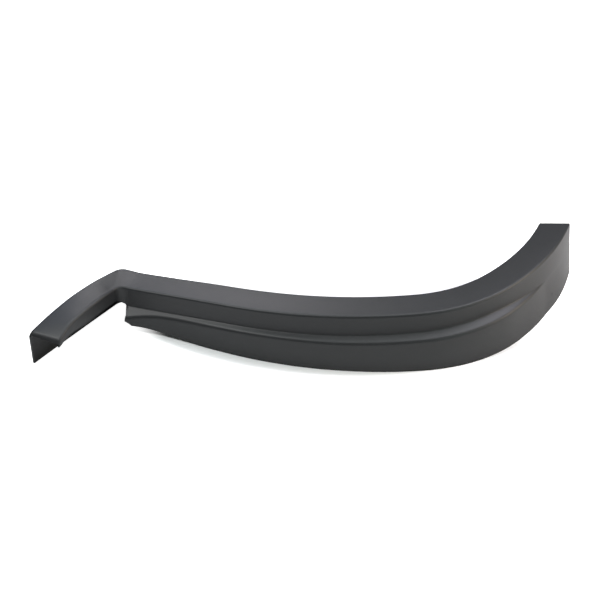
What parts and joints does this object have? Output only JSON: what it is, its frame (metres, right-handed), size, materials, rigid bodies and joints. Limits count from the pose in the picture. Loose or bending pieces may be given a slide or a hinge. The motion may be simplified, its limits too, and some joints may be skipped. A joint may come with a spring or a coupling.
{
  "type": "wheel arch trim",
  "caption": "Long curved moulded wheel arch trim with a stepped outer wall and a short angled leg at one end, open at the back.",
  "frame": {"origin": "centre of the part's box, on the plane of its back edges", "axes": "+X along the part's length towards the end with the square end cut, +Y towards the wheel, +Z out of the visible face"},
  "size_m": [0.7208, 0.2258, 0.0824],
  "materials": {
    "trim_plastic": "fine-grained matt moulded polypropylene, dark grey"
  },
  "bodies": {
    "root": {"arch_trim": "trim_plastic"}
  },
  "joints": []
}
